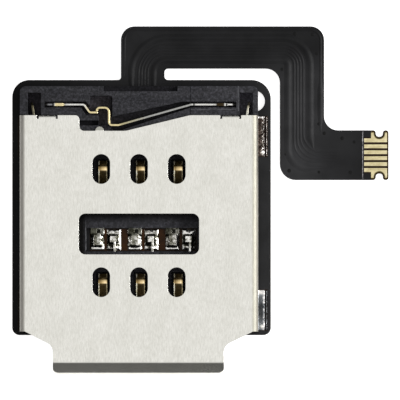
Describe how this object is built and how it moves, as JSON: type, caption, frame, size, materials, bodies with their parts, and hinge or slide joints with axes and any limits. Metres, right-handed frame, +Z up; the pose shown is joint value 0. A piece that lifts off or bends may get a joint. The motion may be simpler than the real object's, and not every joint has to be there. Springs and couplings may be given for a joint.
{
  "type": "sim card reader flex cable",
  "caption": "Flat card tray reader with a folded steel shell over a moulded frame of spring contacts, soldered to a black flex circuit whose bent tail ends in plug-in fingers.",
  "frame": {"origin": "middle of the six card contacts, on the back face of the reader's stiffener", "axes": "+X towards the plug-in fingers, +Y towards the reader's rear, away from the tray's mouth, +Z up from the back to the shell"},
  "size_m": [0.0254, 0.0235, 0.0029],
  "materials": {
    "stiffener": "amber laminate, matt, bonded to the back of the film",
    "base_film": "amber film, satin",
    "black_film": "black skin with a soft sheen and faint raised lines",
    "moulding": "dark grey moulding, fine matt surface",
    "shell_steel": "plated sheet steel with a fine grain along its length",
    "plated_copper": "gold plated copper",
    "contact_metal": "gold plated spring alloy",
    "spring_metal": "pale plated spring strip",
    "solder": "bright reflowed solder"
  },
  "bodies": {
    "root": {"reader_stiffener": "stiffener", "tail_stiffener": "stiffener", "flex_base": "base_film", "flex_coverlay": "black_film", "housing": "moulding", "shell": "shell_steel", "detect_fixed_contact": "spring_metal", "detect_spring": "spring_metal", "latch_spring_left": "spring_metal", "latch_spring_right": "spring_metal", "conductor_1": "plated_copper", "conductor_2": "plated_copper", "conductor_3": "plated_copper", "conductor_4": "plated_copper", "conductor_5": "plated_copper", "conductor_6": "plated_copper", "contact_rear_left": "contact_metal", "contact_solder_rear_left": "solder", "contact_rear_middle": "contact_metal", "contact_solder_rear_middle": "solder", "contact_rear_right": "contact_metal", "contact_solder_rear_right": "solder", "contact_front_left": "contact_metal", "contact_solder_front_left": "solder", "contact_front_middle": "contact_metal", "contact_solder_front_middle": "solder", "contact_front_right": "contact_metal", "contact_solder_front_right": "solder", "ground_pad_left_rear": "plated_copper", "shell_solder_left_rear": "solder", "ground_pad_left_front": "plated_copper", "shell_solder_left_front": "solder", "ground_pad_right_rear": "plated_copper", "shell_solder_right_rear": "solder", "ground_pad_right_front": "plated_copper", "shell_solder_right_front": "solder"}
  },
  "joints": []
}
